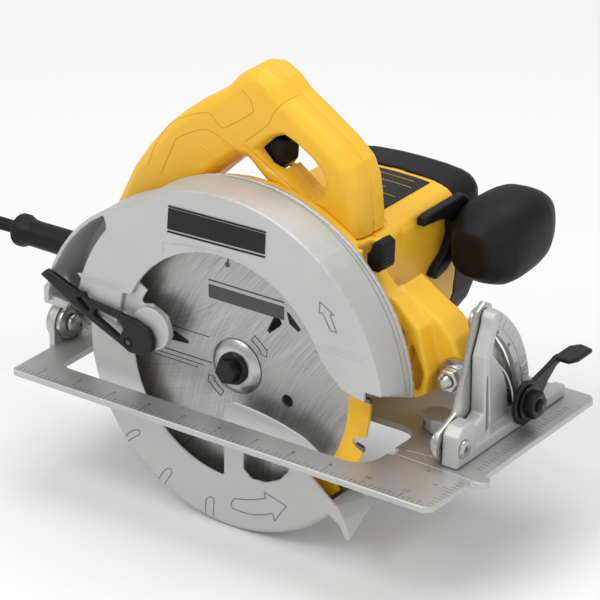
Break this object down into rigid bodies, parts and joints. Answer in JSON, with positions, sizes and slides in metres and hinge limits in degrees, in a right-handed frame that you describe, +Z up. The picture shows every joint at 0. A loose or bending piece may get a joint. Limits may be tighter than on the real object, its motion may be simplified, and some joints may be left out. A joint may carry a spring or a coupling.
{
  "type": "circular saw",
  "caption": "Corded hand-held circular saw with a toothed blade, fixed and swinging guards, a tilting shoe, rear handle with trigger and a front pommel grip.",
  "frame": {"origin": "on the sole, the underside of the shoe, in the middle of the runner on the blade side, level with the arbor along X", "axes": "+X to the front of the saw (the way it cuts), +Y from the blade to the motor, +Z up, square to the sole"},
  "size_m": [0.5366, 0.2348, 0.269],
  "materials": {
    "yellow_plastic": "fine moulded texture",
    "black_plastic": "moulded texture",
    "cast_aluminium": "die cast, tumbled",
    "shoe_aluminium": "brushed, mill marks",
    "zinc_steel": "zinc plated",
    "machined_steel": "turned",
    "blade_steel": "ground",
    "laminated_steel": "stacked laminations",
    "black_steel": "black coated",
    "copper": "wound wire",
    "brass": "plain",
    "carbon": "pressed graphite",
    "rubber": "matt"
  },
  "bodies": {
    "saw_body": {"upper_guard": "cast_aluminium", "guard_back_plate": "cast_aluminium", "gear_case": "yellow_plastic", "gear_cover": "cast_aluminium", "motor_housing": "yellow_plastic", "motor_end_cap": "black_plastic", "pommel_bracket": "black_plastic", "pommel_grip": "black_plastic", "handle_half_near": "yellow_plastic", "handle_half_far": "yellow_plastic", "trigger_pin": "zinc_steel", "switch_body": "black_plastic", "strain_relief": "rubber", "spindle_bearing_outer": "zinc_steel", "spindle_bearing_inner": "zinc_steel", "armature_bearing_front": "zinc_steel", "armature_bearing_rear": "zinc_steel", "field_stator": "laminated_steel", "brush_holder_low": "brass", "carbon_brush_low": "carbon", "brush_holder_high": "brass", "carbon_brush_high": "carbon", "depth_clamp_bolt": "zinc_steel", "cord_coil": "rubber", "plug_body": "rubber", "plug_blade_a": "brass", "plug_blade_b": "brass", "cord_run": "rubber"},
    "tilt_frame": {"front_tilt_bracket": "zinc_steel", "bracket_stop_rivet": "zinc_steel", "depth_pivot_bolt": "zinc_steel", "depth_pivot_nut": "zinc_steel", "bevel_clamp_bolt": "black_steel", "rear_tilt_bracket": "zinc_steel", "depth_bar": "zinc_steel", "depth_bar_rivet": "zinc_steel"},
    "shoe": {"shoe_plate": "shoe_aluminium", "bevel_quadrant": "cast_aluminium", "front_bevel_pin": "zinc_steel", "rear_bevel_pin": "zinc_steel", "rip_fence_clamp": "cast_aluminium"},
    "lower_guard": {"lower_guard": "cast_aluminium", "guard_lever": "black_plastic", "guard_lever_screw": "black_steel"},
    "spindle": {"spindle": "machined_steel", "inner_flange": "zinc_steel", "blade": "blade_steel", "outer_flange": "zinc_steel", "blade_bolt": "black_steel", "spindle_gear": "machined_steel"},
    "armature": {"armature_shaft": "machined_steel", "armature_core": "laminated_steel", "commutator": "copper", "cooling_fan": "black_plastic"},
    "trigger": {"trigger": "black_plastic"},
    "lock_button": {"lock_button": "black_plastic"},
    "bevel_lever": {"bevel_lever": "black_steel", "bevel_clamp_nut": "black_steel"},
    "depth_lever": {"depth_lever": "black_steel"}
  },
  "joints": [
    {"name": "depth_adjust", "type": "hinge", "parent": "saw_body", "child": "tilt_frame", "pos_m": [0.124, 0.079, 0.043], "axis": [0, -1, 0], "range_deg": [0, 25]},
    {"name": "bevel_tilt", "type": "hinge", "parent": "tilt_frame", "child": "shoe", "pos_m": [0, 0.041, 0.015], "axis": [-1, 0, 0], "range_deg": [0, 45]},
    {"name": "bevel_lock_lever", "type": "hinge", "parent": "tilt_frame", "child": "bevel_lever", "pos_m": [0.15, 0.1014, 0.02], "axis": [1, 0, 0], "range_deg": [0, 40]},
    {"name": "depth_lock_lever", "type": "hinge", "parent": "saw_body", "child": "depth_lever", "pos_m": [-0.0694, 0.059, 0.018], "axis": [0, -1, 0], "range_deg": [0, 17]},
    {"name": "lower_guard_swing", "type": "hinge", "parent": "saw_body", "child": "lower_guard", "pos_m": [0, 0.031, 0.0282], "axis": [0, 1, 0], "range_deg": [0, 110], "stiffness_Nm_per_rad": 0.1, "springref_deg": -45.84},
    {"name": "spindle_spin", "type": "hinge", "parent": "saw_body", "child": "spindle", "pos_m": [0, 0.031, 0.0282], "axis": [0, -1, 0], "continuous": true},
    {"name": "armature_spin", "type": "hinge", "parent": "saw_body", "child": "armature", "pos_m": [0.009, 0.121, 0.0537], "axis": [0, -1, 0], "continuous": true},
    {"name": "trigger_pull", "type": "hinge", "parent": "saw_body", "child": "trigger", "pos_m": [-0.003, 0.073, 0.163], "axis": [0, 1, 0], "range_deg": [0, 11], "stiffness_Nm_per_rad": 0.35, "springref_deg": -20.05},
    {"name": "lock_button_press", "type": "slide", "parent": "saw_body", "child": "lock_button", "axis": [-1, 0, 0], "range_m": [0, 0.0045], "stiffness_N_per_m": 700, "springref_m": -0.002}
  ],
  "couplings": [
    {"joint": "armature_spin", "follows": "spindle_spin", "ratio": -4.2}
  ]
}
